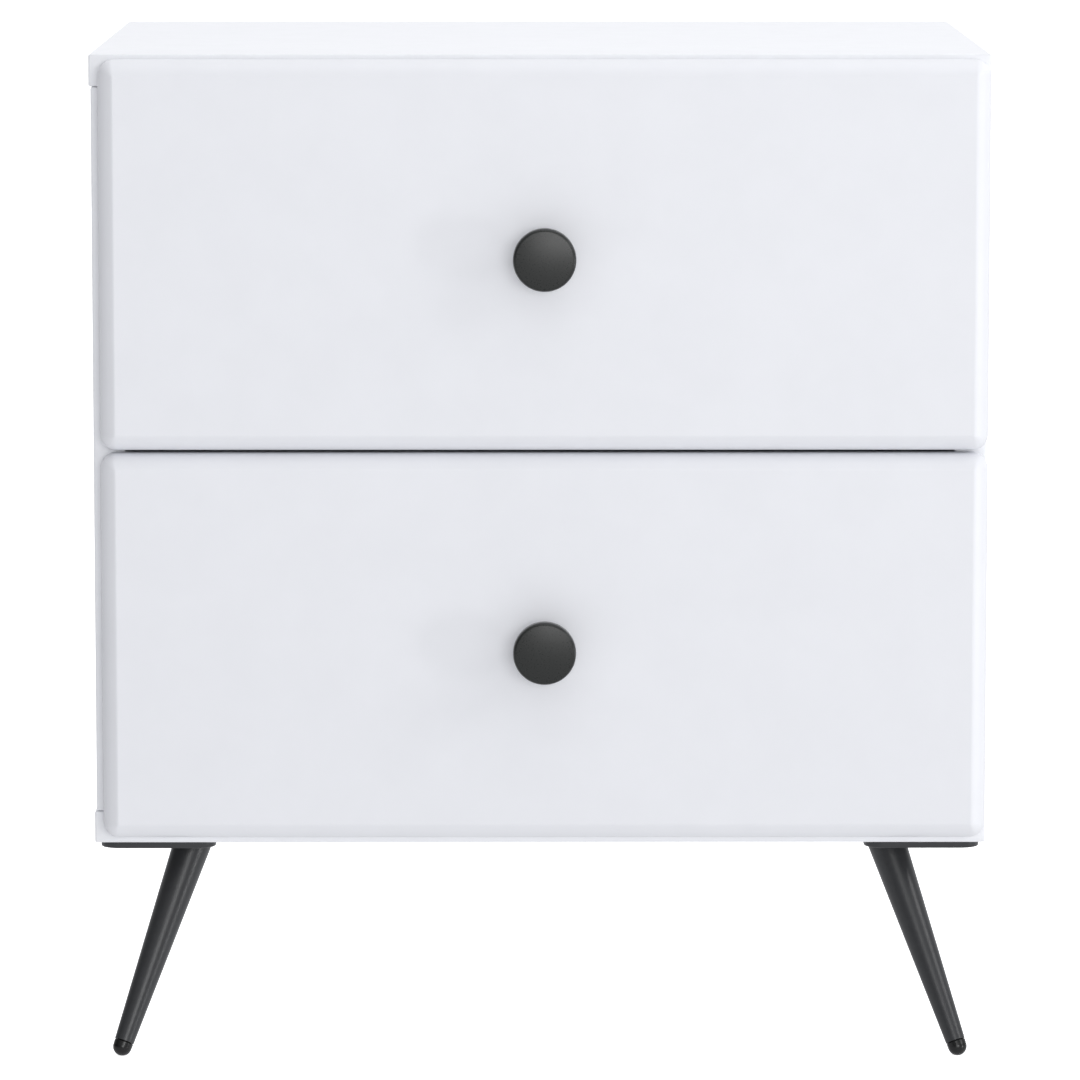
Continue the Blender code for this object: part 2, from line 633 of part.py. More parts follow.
def runner(level, name, sign, height, carrier):
    """One side's runner. The channel stays on the carcass, and the rail goes with the drawer."""
    lift = Vector((0, FRONT_Y, height))

    def x(across):
        return sign * (INNER_X - across)

    channel = [
        (x(GAP), CHANNEL_FLOOR - STEEL),
        (x(CHANNEL_EDGE), CHANNEL_FLOOR - STEEL),
        (x(CHANNEL_EDGE), CHANNEL_FLOOR),
        (x(CHANNEL_WEB), CHANNEL_FLOOR),
        (x(CHANNEL_WEB), CHANNEL_LIP),
        (x(CHANNEL_EDGE), CHANNEL_LIP),
        (x(CHANNEL_EDGE), CHANNEL_LIP + STEEL),
        (x(GAP), CHANNEL_LIP + STEEL),
    ]
    rail = [
        (x(RAIL_WEB), BOX_RISE - GAP - STEEL),
        (x(RUNNER_SPACE + RAIL_UNDER_BOX), BOX_RISE - GAP - STEEL),
        (x(RUNNER_SPACE + RAIL_UNDER_BOX), BOX_RISE - GAP),
        (x(RAIL_WEB + STEEL), BOX_RISE - GAP),
        (x(RAIL_WEB + STEEL), RAIL_FLANGE + STEEL),
        (x(RAIL_EDGE), RAIL_FLANGE + STEEL),
        (x(RAIL_EDGE), RAIL_FLANGE),
        (x(RAIL_WEB), RAIL_FLANGE),
    ]
    front_y = CHANNEL_START + FRONT_AXLE_SET_BACK
    rear_y = RAIL_END - REAR_AXLE_SET_BACK

    fixed = frame(f"{level}_runner_frame_{name}", lift)
    part = extruded(channel, CHANNEL_START, CHANNEL_END)
    part = put(f"{level}_channel_{name}", part, RUNNER_STEEL, parent=fixed)
    near, far = sorted((x(CHANNEL_WEB - STEEL / 2), x(CHANNEL_EDGE)))
    shape(part, "UNION", "rear_stop", block(
        (near, CHANNEL_END - STEEL, CHANNEL_FLOOR - STEEL / 2), (far, CHANNEL_END, CHANNEL_LIP + STEEL / 2)))
    shape(part, "UNION", "axle", axle(
        x(CHANNEL_WEB), x(ROLLER_START), x(ROLLER_END + ROLLER_SIDE_PLAY), front_y, AXLE_HEIGHT))

    part = put(f"{level}_rail_{name}", extruded(rail, RAIL_START, RAIL_END), RUNNER_STEEL, parent=carrier)
    shape(part, "UNION", "axle", axle(
        x(RAIL_WEB), x(ROLLER_END), x(ROLLER_START - ROLLER_SIDE_PLAY), rear_y, AXLE_HEIGHT))

    across = x((ROLLER_START + ROLLER_END) / 2)
    for where, y, parent in (("front", front_y, fixed), ("rear", rear_y, carrier)):
        wheel = put(f"{level}_{where}_roller_{name}", roller(), NYLON, (0, 0, 0), parent, smooth=True)
        wheel.location = (across, y, AXLE_HEIGHT)
        wheel.rotation_euler.y = math.radians(90)


def drawer(level, height):
    carrier = frame(f"{level}_drawer", (0, FRONT_Y, height))
    place = front(level, carrier)
    knob(level, place, carrier)
    box(level, carrier)
    for name, sign in SIDES.items():
        runner(level, name, sign, height, carrier)


carcass()
for corner_name in CORNERS:
    leg(corner_name)
for level_name, level_height in LEVELS.items():
    drawer(level_name, level_height)
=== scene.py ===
"""A white nightstand with two drawers on splayed, tapered steel legs: its looks, built round its CAD frame.

Metres, +Z up, and the drawer fronts face -Y. Boards keep their CAD shapes and get their finishes here. The
fronts, knobs, legs, screws and runners are finer pieces that stand for their CAD nodes.
"""

import json
import math

import bmesh
import bpy
import numpy as np
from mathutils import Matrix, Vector


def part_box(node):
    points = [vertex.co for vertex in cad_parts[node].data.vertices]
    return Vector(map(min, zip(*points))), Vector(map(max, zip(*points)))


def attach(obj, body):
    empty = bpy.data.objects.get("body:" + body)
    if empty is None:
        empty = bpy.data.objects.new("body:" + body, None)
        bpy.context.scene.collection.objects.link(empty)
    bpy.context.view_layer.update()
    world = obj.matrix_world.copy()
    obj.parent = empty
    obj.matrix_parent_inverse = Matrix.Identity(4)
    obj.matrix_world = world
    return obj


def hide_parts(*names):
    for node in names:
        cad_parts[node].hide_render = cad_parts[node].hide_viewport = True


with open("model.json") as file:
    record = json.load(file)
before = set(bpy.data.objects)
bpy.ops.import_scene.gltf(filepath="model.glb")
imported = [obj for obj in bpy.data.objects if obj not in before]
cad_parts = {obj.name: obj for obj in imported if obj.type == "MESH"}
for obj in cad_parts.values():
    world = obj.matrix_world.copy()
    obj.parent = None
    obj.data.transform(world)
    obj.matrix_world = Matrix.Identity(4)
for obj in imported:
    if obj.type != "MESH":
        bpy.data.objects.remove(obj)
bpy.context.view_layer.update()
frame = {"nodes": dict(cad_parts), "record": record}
nodes = frame["nodes"]

PLAY = 0.0003  # left between pieces that touch
MERGE = 1e-6  # points closer than this are one
THROUGH = 0.02  # how far a hole's cutter reaches to both sides in a board. A plate needs half of it
HOLE_SIDES = 32

LEVELS = ("upper", "lower")
SIDES = {"left": -1, "right": 1}
CORNERS = {"front_left": (-1, -1), "front_right": (1, -1), "rear_right": (1, 1), "rear_left": (-1, 1)}


# ---- Finishes --------------------------------------------------------------------------------------------


def linear(code):
    """An sRGB hex colour in linear light: c / 12.92 up to 0.04045, and ((c + 0.055) / 1.055) ** 2.4 above."""
    c = np.array([int(code[i:i + 2], 16) for i in (1, 3, 5)]) / 255
    return (*np.where(c <= 0.04045, c / 12.92, ((c + 0.055) / 1.055) ** 2.4).tolist(), 1.0)


def node(tree, kind, inputs=None, **settings):
    """Adds one node, with its settings, and with each input set or linked."""
    made = tree.nodes.new(kind)
    for name, value in settings.items():
        setattr(made, name, value)
    for name, value in (inputs or {}).items():
        if isinstance(value, bpy.types.NodeSocket):
            tree.links.new(value, made.inputs[name])
        else:
            made.inputs[name].default_value = value
    return made


def per(millimetres):
    """A pattern's scale on Object coordinates, for cells of a real size."""
    return 1000 / millimetres


def finish(name, **sockets):
    """A material, its node tree, its shader and the place on the piece that its patterns are drawn from."""
    made = bpy.data.materials.new(name)
    made.use_nodes = True
    tree = made.node_tree
    shader = tree.nodes["Principled BSDF"]
    for socket, value in sockets.items():
        shader.inputs[socket.replace("_", " ")].default_value = value
    place = node(tree, "ShaderNodeTexCoord").outputs["Object"]
    return made, tree, shader, place


def mottle(tree, shader, place, tones, size, detail=3.0, reach=(0.3, 0.7)):
    """Blends the colour between two tones in soft patches of a size in millimetres."""
    patches = node(tree, "ShaderNodeTexNoise", {"Vector": place, "Scale": per(size), "Detail": detail})
    ramp = node(tree, "ShaderNodeValToRGB", {"Fac": patches.outputs["Fac"]})
    for stop, at, tone in zip(ramp.color_ramp.elements, reach, tones):
        stop.position = at
        stop.color = linear(tone)
    tree.links.new(ramp.outputs["Color"], shader.inputs["Base Color"])


def gloss(tree, shader, place, between, size, detail=4.0):
    """Varies the roughness between two values, in patches of a size in millimetres."""
    patches = node(tree, "ShaderNodeTexNoise", {"Vector": place, "Scale": per(size), "Detail": detail})
    spread = node(tree, "ShaderNodeMapRange", {
        "Value": patches.outputs["Fac"], "From Min": 0.3, "From Max": 0.7,
        "To Min": between[0], "To Max": between[1]})
    tree.links.new(spread.outputs["Result"], shader.inputs["Roughness"])


def relief(tree, shader, *layers):
    """Raises the surface by layers of (height socket, depth in metres), each laid over the one before."""
    bump = None
    for height, depth in layers:
        inputs = {"Height": height, "Distance": depth, "Strength": 1.0}
        if bump:
            inputs["Normal"] = bump.outputs["Normal"]
        bump = node(tree, "ShaderNodeBump", inputs)
    tree.links.new(bump.outputs["Normal"], shader.inputs["Normal"])


def melamine_faced_chipboard(name, tones, roughness):
    """Resin-soaked paper pressed hot on chipboard by a pearl-grained plate: an even white satin. Its grain of
    about 0.6 mm is drawn at 1.4 mm so that it shows, and the chips telegraph through at 9 mm."""
    made, tree, shader, place = finish(name, IOR=1.52)
    mottle(tree, shader, place, tones, 14)
    gloss(tree, shader, place, (roughness - 0.05, roughness + 0.05), 2.2)
    pearl = node(tree, "ShaderNodeTexVoronoi", {"Vector": place, "Scale": per(1.4)}, feature="SMOOTH_F1")
    chips = node(tree, "ShaderNodeTexNoise", {"Vector": place, "Scale": per(9), "Detail": 2.0})
    relief(tree, shader, (pearl.outputs["Distance"], 12e-6), (chips.outputs["Fac"], 12e-6))
    return made


def foil_wrapped_fibreboard(name):
    """Vinyl foil drawn hot over a routed fibreboard front: a smooth satin with a faint orange peel of about
    1.8 mm, and fine fibre grain from the board under it."""
    made, tree, shader, place = finish(name, IOR=1.5)
    mottle(tree, shader, place, ("#EEEFF3", "#F0F1F5"), 22)
    gloss(tree, shader, place, (0.36, 0.44), 3)
    peel = node(tree, "ShaderNodeTexNoise", {"Vector": place, "Scale": per(1.8), "Detail": 1.0})
    fibre = node(tree, "ShaderNodeTexNoise", {"Vector": place, "Scale": per(0.7), "Detail": 3.0})
    relief(tree, shader, (peel.outputs["Fac"], 14e-6), (fibre.outputs["Fac"], 5e-6))
    return made


def lacquered_hardboard(name):
    """Pressed wood fibre with a thin white lacquer: matt, with soft flecks where the fibres show through.
    They lie at random, about 3 mm long, and are drawn a little coarser."""
    made, tree, shader, place = finish(name, IOR=1.5)
    mottle(tree, shader, place, ("#E4E2DC", "#EFEFEE"), 2.6, detail=6.0, reach=(0.25, 0.5))
    gloss(tree, shader, place, (0.52, 0.68), 4)
    fibres = node(tree, "ShaderNodeTexNoise", {
        "Vector": place, "Scale": per(3.5), "Detail": 6.0, "Distortion": 1.6})
    relief(tree, shader, (fibres.outputs["Fac"], 45e-6))
    return made


def epoxy_coated_steel(name):
    """White epoxy powder baked on bent sheet steel: glossy, with an orange peel of about 1.5 mm."""
    made, tree, shader, place = finish(name, IOR=1.55, Coat_Weight=0.15, Coat_Roughness=0.2)
    mottle(tree, shader, place, ("#E8E8E5", "#EEEEEB"), 9)
    gloss(tree, shader, place, (0.28, 0.36), 3)
    peel = node(tree, "ShaderNodeTexNoise", {"Vector": place, "Scale": per(1.5), "Detail": 1.5})
    relief(tree, shader, (peel.outputs["Fac"], 22e-6))
    return made


def moulded_nylon(name):
    """Natural nylon, injection moulded: milky, faintly yellow, with a satin skin and flow marks of 4 mm."""
    made, tree, shader, place = finish(name, IOR=1.53, Subsurface_Weight=0.12, Subsurface_Scale=0.001)
    mottle(tree, shader, place, ("#DFDDD2", "#EBEAE3"), 4)
    gloss(tree, shader, place, (0.38, 0.5), 1.5)
    skin = node(tree, "ShaderNodeTexNoise", {"Vector": place, "Scale": per(0.8), "Detail": 2.0})
    relief(tree, shader, (skin.outputs["Fac"], 10e-6))
    return made


def powder_coated_steel(name):
    """Anthracite polyester powder baked on steel: semi-gloss, with a fine orange peel. The peel's cells of
    about 0.5 mm are drawn at 0.8 mm so that they show."""
    made, tree, shader, place = finish(name, IOR=1.5)
    mottle(tree, shader, place, ("#2F3032", "#333436"), 3)
    gloss(tree, shader, place, (0.29, 0.34), 1.6)
    peel = node(tree, "ShaderNodeTexNoise", {"Vector": place, "Scale": per(0.8), "Detail": 1.0})
    relief(tree, shader, (peel.outputs["Fac"], 5e-6))
    return made


def moulded_plastic(name):
    """Black polyethylene, injection moulded in a spark-eroded tool: a soft sheen over a grain of about
    0.3 mm, drawn at 0.5 mm, and scuffed lighter in places."""
    made, tree, shader, place = finish(name, IOR=1.45)
    mottle(tree, shader, place, ("#0B0B0B", "#121213"), 1.5)
    gloss(tree, shader, place, (0.2, 0.3), 1.2)
    grain = node(tree, "ShaderNodeTexVoronoi", {"Vector": place, "Scale": per(0.5)})
    relief(tree, shader, (grain.outputs["Distance"], 8e-6))
    return made


def lacquered_metal(name):
    """Die-cast zinc under a dark grey satin lacquer: metal flakes of about 0.3 mm, drawn at 0.5 mm, give it
    a fine uneven grain, and the lacquer levels to a faint peel."""
    made, tree, shader, place = finish(name, IOR=1.45)
    mottle(tree, shader, place, ("#1D1F1D", "#232524"), 0.5)
    gloss(tree, shader, place, (0.26, 0.32), 0.8)
    peel = node(tree, "ShaderNodeTexNoise", {"Vector": place, "Scale": per(1.2), "Detail": 2.0})
    relief(tree, shader, (peel.outputs["Fac"], 6e-6))
    return made


def zinc_plated_steel(name):
    """Steel with a passivated zinc skin: a bright grey metal with clouded patches of blue and straw."""
    made, tree, shader, place = finish(name, Metallic=1.0)
    mottle(tree, shader, place, ("#B4B8BE", "#D0CDC4"), 2.5)
    gloss(tree, shader, place, (0.24, 0.4), 0.9)
    crystals = node(tree, "ShaderNodeTexVoronoi", {"Vector": place, "Scale": per(0.6)})
    relief(tree, shader, (crystals.outputs["Distance"], 6e-6))
    return made


FINISHES = {
    "carcass_board": melamine_faced_chipboard("melamine_faced_chipboard", ("#F3F4F7", "#F6F7FA"), 0.4),
    "front": foil_wrapped_fibreboard("foil_wrapped_fibreboard"),
    "drawer_board": melamine_faced_chipboard("drawer_side_melamine", ("#ECEDEF", "#F2F2F4"), 0.46),
    "hardboard": lacquered_hardboard("white_lacquered_hardboard"),
    "runner_steel": epoxy_coated_steel("white_epoxy_coated_steel"),
    "roller": moulded_nylon("natural_nylon"),
    "leg_steel": powder_coated_steel("anthracite_powder_coat"),
    "foot_cap": moulded_plastic("black_polyethylene"),
    "knob": lacquered_metal("dark_grey_lacquered_zinc"),
    "screw": zinc_plated_steel("zinc_plated_steel"),
}

for row in frame["record"]["subparts"]:
    mesh = nodes[row["node"]].data
    mesh.materials.clear()
    mesh.materials.append(FINISHES[row["material_slot"]])


# ---- Shapes as arrays ------------------------------------------------------------------------------------


def rounded(corners, radii, steps=5):
    """A closed outline with its corners rounded.

    With unit vectors u and v from a corner p to its neighbours, 2 f apart, and a radius r, the arc's centre
    is p + (u + v) / |u + v| * r / sin f. The arc starts and ends where it touches the two sides.
    """
    def unit(v):
        return v / np.linalg.norm(v, axis=-1, keepdims=True)

    p = np.asarray(corners, float)
    r = np.broadcast_to(np.asarray(radii, float), len(p))[:, None]
    u, v = unit(np.roll(p, 1, 0) - p), unit(np.roll(p, -1, 0) - p)
    f = np.arccos(np.clip((u * v).sum(-1, keepdims=True), -1, 1)) / 2
    centre = p + unit(u + v) * r / np.sin(f)
    start, end = (p + side * r / np.tan(f) - centre for side in (u, v))
    turn = (np.pi - 2 * f)[:, None]
    k = np.linspace(0, 1, steps + 1)[:, None]
    spread = (np.sin((1 - k) * turn) * start[:, None] + np.sin(k * turn) * end[:, None]) / np.sin(turn)
    return (centre[:, None] + spread).reshape(-1, p.shape[1])


def turned(profile, sides):
    """(radius r, height h) points spun about +Z by an angle a: x = r cos a, y = r sin a, z = h."""
    a = np.linspace(0, 2 * np.pi, sides, endpoint=False)
    r, h = np.asarray(profile, float).T[:, :, None]
    return np.stack((r * np.cos(a), r * np.sin(a), h + 0 * a), -1)


def swept(outline, start, end, axis=1):
    """A flat outline carried straight along an axis, as two rings of points."""
    return np.stack([np.insert(outline, axis, at, axis=1) for at in (start, end)])


def aimed(points, origin, towards):
    """Points made along +Z, turned to run from an origin towards a place."""
    turn = Vector((0, 0, 1)).rotation_difference(Vector(towards) - Vector(origin)).to_matrix()
    return points @ np.array(turn).T + np.array(origin)


def surface(name, rings, loop=False, capped=True):
    """An object over rings of points, each closed and joined to the next by quads.

    The rings close on the first one in a loop, and otherwise have a face on each end where they are capped.
    Points that share a place are merged.
    """
    rows, columns = rings.shape[:2]
    near = np.arange(rows * columns).reshape(rows, columns)
    if loop:
        near = np.vstack((near, near[:1]))
    across = np.roll(near, -1, 1)
    faces = np.stack((near[:-1], near[1:], across[1:], across[:-1]), -1).reshape(-1, 4).tolist()
    if capped and not loop:
        faces += [near[0].tolist(), near[-1][::-1].tolist()]
    mesh = bpy.data.meshes.new(name)
    mesh.from_pydata(rings.reshape(-1, 3).tolist(), [], faces)
    bm = bmesh.new()
    bm.from_mesh(mesh)
    bmesh.ops.remove_doubles(bm, verts=bm.verts, dist=MERGE)
    bmesh.ops.recalc_face_normals(bm, faces=bm.faces)
    bm.to_mesh(mesh)
    bm.free()
    made = bpy.data.objects.new(name, mesh)
    bpy.context.scene.collection.objects.link(made)
    return made


def carve(made, holes):
    """Cuts rings of points, each closed into a solid, out of a piece's mesh."""
    tools = [surface(f"cutter_{count}", rings) for count, rings in enumerate(holes)]
    for tool in tools:
        cut = made.modifiers.new(tool.name, "BOOLEAN")
        cut.operation, cut.solver, cut.object = "DIFFERENCE", "EXACT", tool
    graph = bpy.context.evaluated_depsgraph_get()
    carved = bpy.data.meshes.new_from_object(made.evaluated_get(graph))
    made.modifiers.clear()
    made.data = carved
    for tool in tools:
        bpy.data.objects.remove(tool)


def piece(name, rings, slot, body, stands_for=(), loop=False, crease=32, holes=()):
    """A finished piece over rings of points, with its holes cut out.

    It moves with a body and may stand for CAD nodes. Edges sharper than the crease in degrees stay sharp.
    """
    made = surface(name, rings, loop)
    if holes:
        carve(made, holes)
    made.data.materials.append(FINISHES[slot])
    made.data.shade_smooth()
    made.data.set_sharp_from_angle(angle=math.radians(crease))
    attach(made, body)
    if stands_for:
        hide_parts(*stands_for)


# ---- Drawer fronts ---------------------------------------------------------------------------------------

FRONT_CORNER = 0.008
FRONT_EDGE, FRONT_EDGE_DEPTH = 0.0078, 0.010  # the pillow edge's width and depth
FRONT_BREAK = math.radians(25)  # of the edge's arc left out where it meets the flat face
FRONT_EASE = 0.0004
CORNER_STEPS, EDGE_POINTS = 12, 15
GROOVE_DEPTH = 0.005
KNOB_HOLE = 0.0024


def front(level):
    """A slab with a pillow edge.

    Its rings are rounded rectangles. Along the edge, with an angle t from the side to the break b, a ring
    is inset by w (1 - sin t) / (1 - sin b) and stands d (1 - cos t / cos b) behind the flat face.
    """
    low, high = (np.array(corner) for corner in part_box(f"{level}_drawer_front"))
    t = np.linspace(math.pi / 2, FRONT_BREAK, EDGE_POINTS)
    inset = FRONT_EDGE * (1 - np.sin(t)) / (1 - math.sin(FRONT_BREAK))
    depth = FRONT_EDGE_DEPTH * (1 - np.cos(t) / math.cos(FRONT_BREAK))
    inset = np.concatenate(([FRONT_EASE * 4, FRONT_EASE, 0.0], inset, inset[-1:] + [FRONT_EASE]))
    rear = high[1] - low[1]
    depth = np.concatenate(([rear, rear, rear - FRONT_EASE], depth, [0.0]))

    signs = np.array(((1, 1), (-1, 1), (-1, -1), (1, -1)))
    half = (high - low)[[0, 2]] / 2
    corner = np.maximum(FRONT_CORNER - inset, FRONT_EASE / 2)
    middle = (low + high) / 2
    rings = np.stack([
        np.insert(rounded(signs * (half - i), c, CORNER_STEPS), 1, d, axis=1)
        for i, c, d in zip(inset, corner, depth)
    ]) + middle * (1, 0, 1) + (0, low[1], 0)

    bottom_low, bottom_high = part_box(f"{level}_drawer_bottom")
    groove = np.array((
        (bottom_low.x - PLAY, bottom_low.z - PLAY),
        (bottom_high.x + PLAY, bottom_low.z - PLAY),
        (bottom_high.x + PLAY, bottom_high.z + PLAY),
        (bottom_low.x - PLAY, bottom_high.z + PLAY),
    ))
    hole = turned([(KNOB_HOLE, -THROUGH), (KNOB_HOLE, THROUGH)], HOLE_SIDES)
    piece(
        f"{level}_front", rings, "front", f"{level}_drawer", [f"{level}_drawer_front"], crease=28,
        holes=[
            swept(groove, high[1] - GROOVE_DEPTH, high[1] + PLAY),
            aimed(hole, middle, middle - (0, 1, 0)),
        ],
    )


# ---- Knobs -----------------------------------------------------------------------------------------------

KNOB_FOOT, KNOB_NECK, KNOB_BORE, KNOB_BORE_DEPTH = 0.0092, 0.0068, 0.0022, 0.012
KNOB_FOOT_TOP, KNOB_NECK_START, KNOB_NECK_END = 0.0012, 0.0034, 0.0117  # heights above the front's face
KNOB_FLARE, KNOB_FLARE_IN, KNOB_HEAD_START = 0.0122, 0.0030, 0.0139  # of the underside of the head
KNOB_CROWN, KNOB_DOME = 0.0009, 0.9  # the dome's rise and its share of the radius
KNOB_RIM = 0.0024  # depth of the round rim
KNOB_STEPS, KNOB_SIDES = 6, 128


def knob(level):
    """A turned mushroom knob: a foot, a waisted neck, and a head with a round rim and a faint dome.

    At a share q of the radius the dome lies c q^2 below its middle, with a crown c. The rim is a quarter of
    an ellipse, as wide as the dome leaves it.
    """
    low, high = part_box(f"{level}_knob")
    radius, base = (high.x - low.x) / 2, Vector(((low.x + high.x) / 2, high.y, (low.z + high.z) / 2))
    length = high.y - low.y
    q = np.linspace(KNOB_DOME, 0, 12)
    dome = np.stack((radius * q, length - KNOB_CROWN * q**2), -1)
    a = np.linspace(0, math.pi / 2, 14)[:-1]
    rim_top = length - KNOB_CROWN * KNOB_DOME**2
    rim = np.stack((radius * (KNOB_DOME + (1 - KNOB_DOME) * np.cos(a)),
                    rim_top - KNOB_RIM * (1 - np.sin(a))), -1)
    stem = rounded(
        [
            (0, KNOB_BORE_DEPTH), (KNOB_BORE, KNOB_BORE_DEPTH), (KNOB_BORE, 0), (KNOB_FOOT, 0),
            (KNOB_FOOT, KNOB_FOOT_TOP), (KNOB_NECK, KNOB_NECK_START), (KNOB_NECK, KNOB_NECK_END),
            (radius - KNOB_FLARE_IN, KNOB_FLARE), (radius, KNOB_HEAD_START), (radius, rim_top - KNOB_RIM),
        ],
        [0, 0, 0, 0.0004, 0.0004, 0.0016, 0.0024, 0.0014, 0.0010, 0], KNOB_STEPS,
    )[:-KNOB_STEPS - 1]  # its last corner is where the rim starts
    profile = np.vstack((stem, rim, dome))
    piece(f"{level}_pull", aimed(turned(profile, KNOB_SIDES), base, base - Vector((0, 1, 0))), "knob",
          f"{level}_drawer", [f"{level}_knob"], crease=40)


# ---- Legs ------------------------------------------------------------------------------------------------

LEG_TOP_IN, LEG_FOOT_IN = 0.0486, 0.0122  # from the carcass edges to the leg's middle, at its ends
LEG_TOP_RADIUS, LEG_FOOT_RADIUS, LEG_WALL = 0.0099, 0.0050, 0.0013
# Along a leg, distances are measured from the middle of its cap's ball, which is CAP_RISE above the floor.
LEG_START = 0.0029
CAP_RADIUS, CAP_RISE, CAP_COLLAR, CAP_STEM = 0.0048, 0.0044, 0.0026, 0.011
CAP_INSET, CAP_STEM_PLAY, COLLAR_ROUND, COLLAR_CUT, STEM_CUT, STEM_TAPER = (
    0.0001, 0.00035, 0.0004, 0.0003, 0.001, 0.0008)
PLATE_CORNER, PLATE_EASE = 0.009, 0.0007
WELD, WELD_WIDTH = 0.0009, 0.00072  # height and width of the fillet where the tube meets the plate
TUBE_SIDES, CAP_SIDES = 72, 64


def leg(name, side, end):
    """A tube, its plate, its foot cap and its three screws, at the carcass corner on one side and end."""
    bottom_low, bottom_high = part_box("bottom_panel")
    corner = np.array((
        bottom_high.x if side > 0 else bottom_low.x,
        bottom_high.y if end > 0 else bottom_low.y,
        0,
    ))
    inwards = np.array((-side, -end, 0))
    plate_low, plate_high = (np.array(v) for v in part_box(f"leg_plate_{name}"))

    outline = rounded(
        [(plate_low[0], plate_low[1]), (plate_high[0], plate_low[1]),
         (plate_high[0], plate_high[1]), (plate_low[0], plate_high[1])], PLATE_CORNER, 12)
    middle = outline.mean(0)
    reach = np.abs(outline - middle).max()
    steps = np.linspace(0, math.pi / 2, 5)
    inset, lift = PLATE_EASE * (1 - np.sin(steps)), PLATE_EASE * (1 - np.cos(steps))
    levels = [(PLATE_EASE * 4, 0), *zip(inset, lift), (0, plate_high[2] - plate_low[2] - PLATE_EASE / 3),
              (PLATE_EASE / 3, plate_high[2] - plate_low[2])]
    rings = np.stack([
        np.insert(middle + (outline - middle) * (1 - i / reach), 2, plate_low[2] + h, axis=1)
        for i, h in levels
    ])
    boxes = [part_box(f"leg_screw_{name}_{count}") for count in (1, 2, 3)]
    seats = [np.array(((lo.x + hi.x) / 2, (lo.y + hi.y) / 2, lo.z)) for lo, hi in boxes]
    piece(f"plate_{name}", rings, "leg_steel", "carcass", [f"leg_plate_{name}"],
          holes=[sunk_hole() + seat for seat in seats])

    ball = corner + inwards * LEG_FOOT_IN + (0, 0, CAP_RISE)
    top = corner + inwards * LEG_TOP_IN + (0, 0, plate_low[2])
    tube(name, ball, top, plate_low[2])
    cap(name, ball, top)
    for count, (seat, (lo, hi)) in enumerate(zip(seats, boxes), 1):
        piece(f"plate_screw_{name}_{count}", sunk_screw(hi.z - lo.z) + seat, "screw", "carcass",
              [f"leg_screw_{name}_{count}"], crease=40)


def tube(name, ball, top, level):
    """A hollow cone from the foot up to the plate.

    At a distance s along the axis, its radius is r0 + k (s - s0). On the line at an angle a, whose rise for
    each metre of radius is w = u_z cos a + v_z sin a, it reaches the plate's level where
    s (axis_z + k w) = level - ball_z - (r0 - k s0) w. A fillet flares out just below the plate: t of the way
    up its width, it is f (1 - sqrt(1 - t^2)) wide.
    """
    axis = top - ball
    length = np.linalg.norm(axis)
    axis = axis / length
    u = np.cross(axis, (0, 0, 1.0))
    u /= np.linalg.norm(u)
    v = np.cross(axis, u)
    a = np.linspace(0, 2 * np.pi, TUBE_SIDES, endpoint=False)
    out = np.cos(a)[:, None] * u + np.sin(a)[:, None] * v
    k = (LEG_TOP_RADIUS - LEG_FOOT_RADIUS) / (length - LEG_START)

    def wall(start_radius, shares, flare):
        base = start_radius - k * LEG_START
        end = (level - ball[2] - base * out[:, 2]) / (axis[2] + k * out[:, 2])
        s = LEG_START + (end - LEG_START) * shares[:, None]
        left = np.clip(1 - (end - s) * axis[2] / WELD, 0, 1)
        radius = base + k * s + flare * (1 - np.sqrt(1 - left**2))
        points = ball + s[..., None] * axis + radius[..., None] * out
        points[..., 2] = np.minimum(points[..., 2], level)
        return points

    along = np.concatenate((np.linspace(0, 0.97, 28), np.linspace(0.975, 1, 12)))
    outer = wall(LEG_FOOT_RADIUS, along, WELD_WIDTH)
    inner = wall(LEG_FOOT_RADIUS - LEG_WALL, along[::-1], 0)
    piece(f"tube_{name}", np.concatenate((outer, inner)), "leg_steel", "carcass",
          [f"leg_tube_{name}"], loop=True)


def cap(name, ball, top):
    """A plug with a ball end, pressed flat where it stands: no point is below the floor."""
    t = np.linspace(-math.pi / 2, 0, 16)
    end = np.stack((CAP_RADIUS * np.cos(t), CAP_RADIUS * np.sin(t)), -1)
    lip, stem = LEG_FOOT_RADIUS - CAP_INSET, LEG_FOOT_RADIUS - LEG_WALL - CAP_STEM_PLAY
    tip = CAP_COLLAR + CAP_STEM
    collar = np.array((
        (lip, CAP_COLLAR - COLLAR_ROUND), (lip - COLLAR_CUT, CAP_COLLAR), (stem, CAP_COLLAR),
        (stem, tip - STEM_CUT), (stem - STEM_TAPER, tip), (0, tip)))
    rings = aimed(turned(np.vstack((end, collar)), CAP_SIDES), ball, top)
    rings[..., 2] = np.maximum(rings[..., 2], 0)
    piece(f"foot_{name}", rings, "foot_cap", "carcass", [f"leg_cap_{name}"])


# ---- Screws ----------------------------------------------------------------------------------------------

THREAD_PITCH, THREAD_DEPTH = 0.0014, 0.00028
CROSS_WIDTH, CROSS_LENGTH, CROSS_DEPTH = 0.0011, 0.0044, 0.0011
SHANK, SCREW_HOLE, SCREW_SIDES = 0.0018, 0.0022, 40
TIP_TAPER, TIP_BLUNT = 0.0015, 0.0006  # from the end, where the thread stops and where the blunt end starts
TIP_RADIUS = 0.45  # the blunt end's share of the shank's radius
PAN_HEAD, PAN_HEIGHT, PAN_EDGE = 0.004, 0.0022, 0.0002
SUNK_HEAD, SUNK_LAND, SUNK_EASE = 0.0036, 0.0003, 0.0001  # the head's radius, straight rim and broken edge


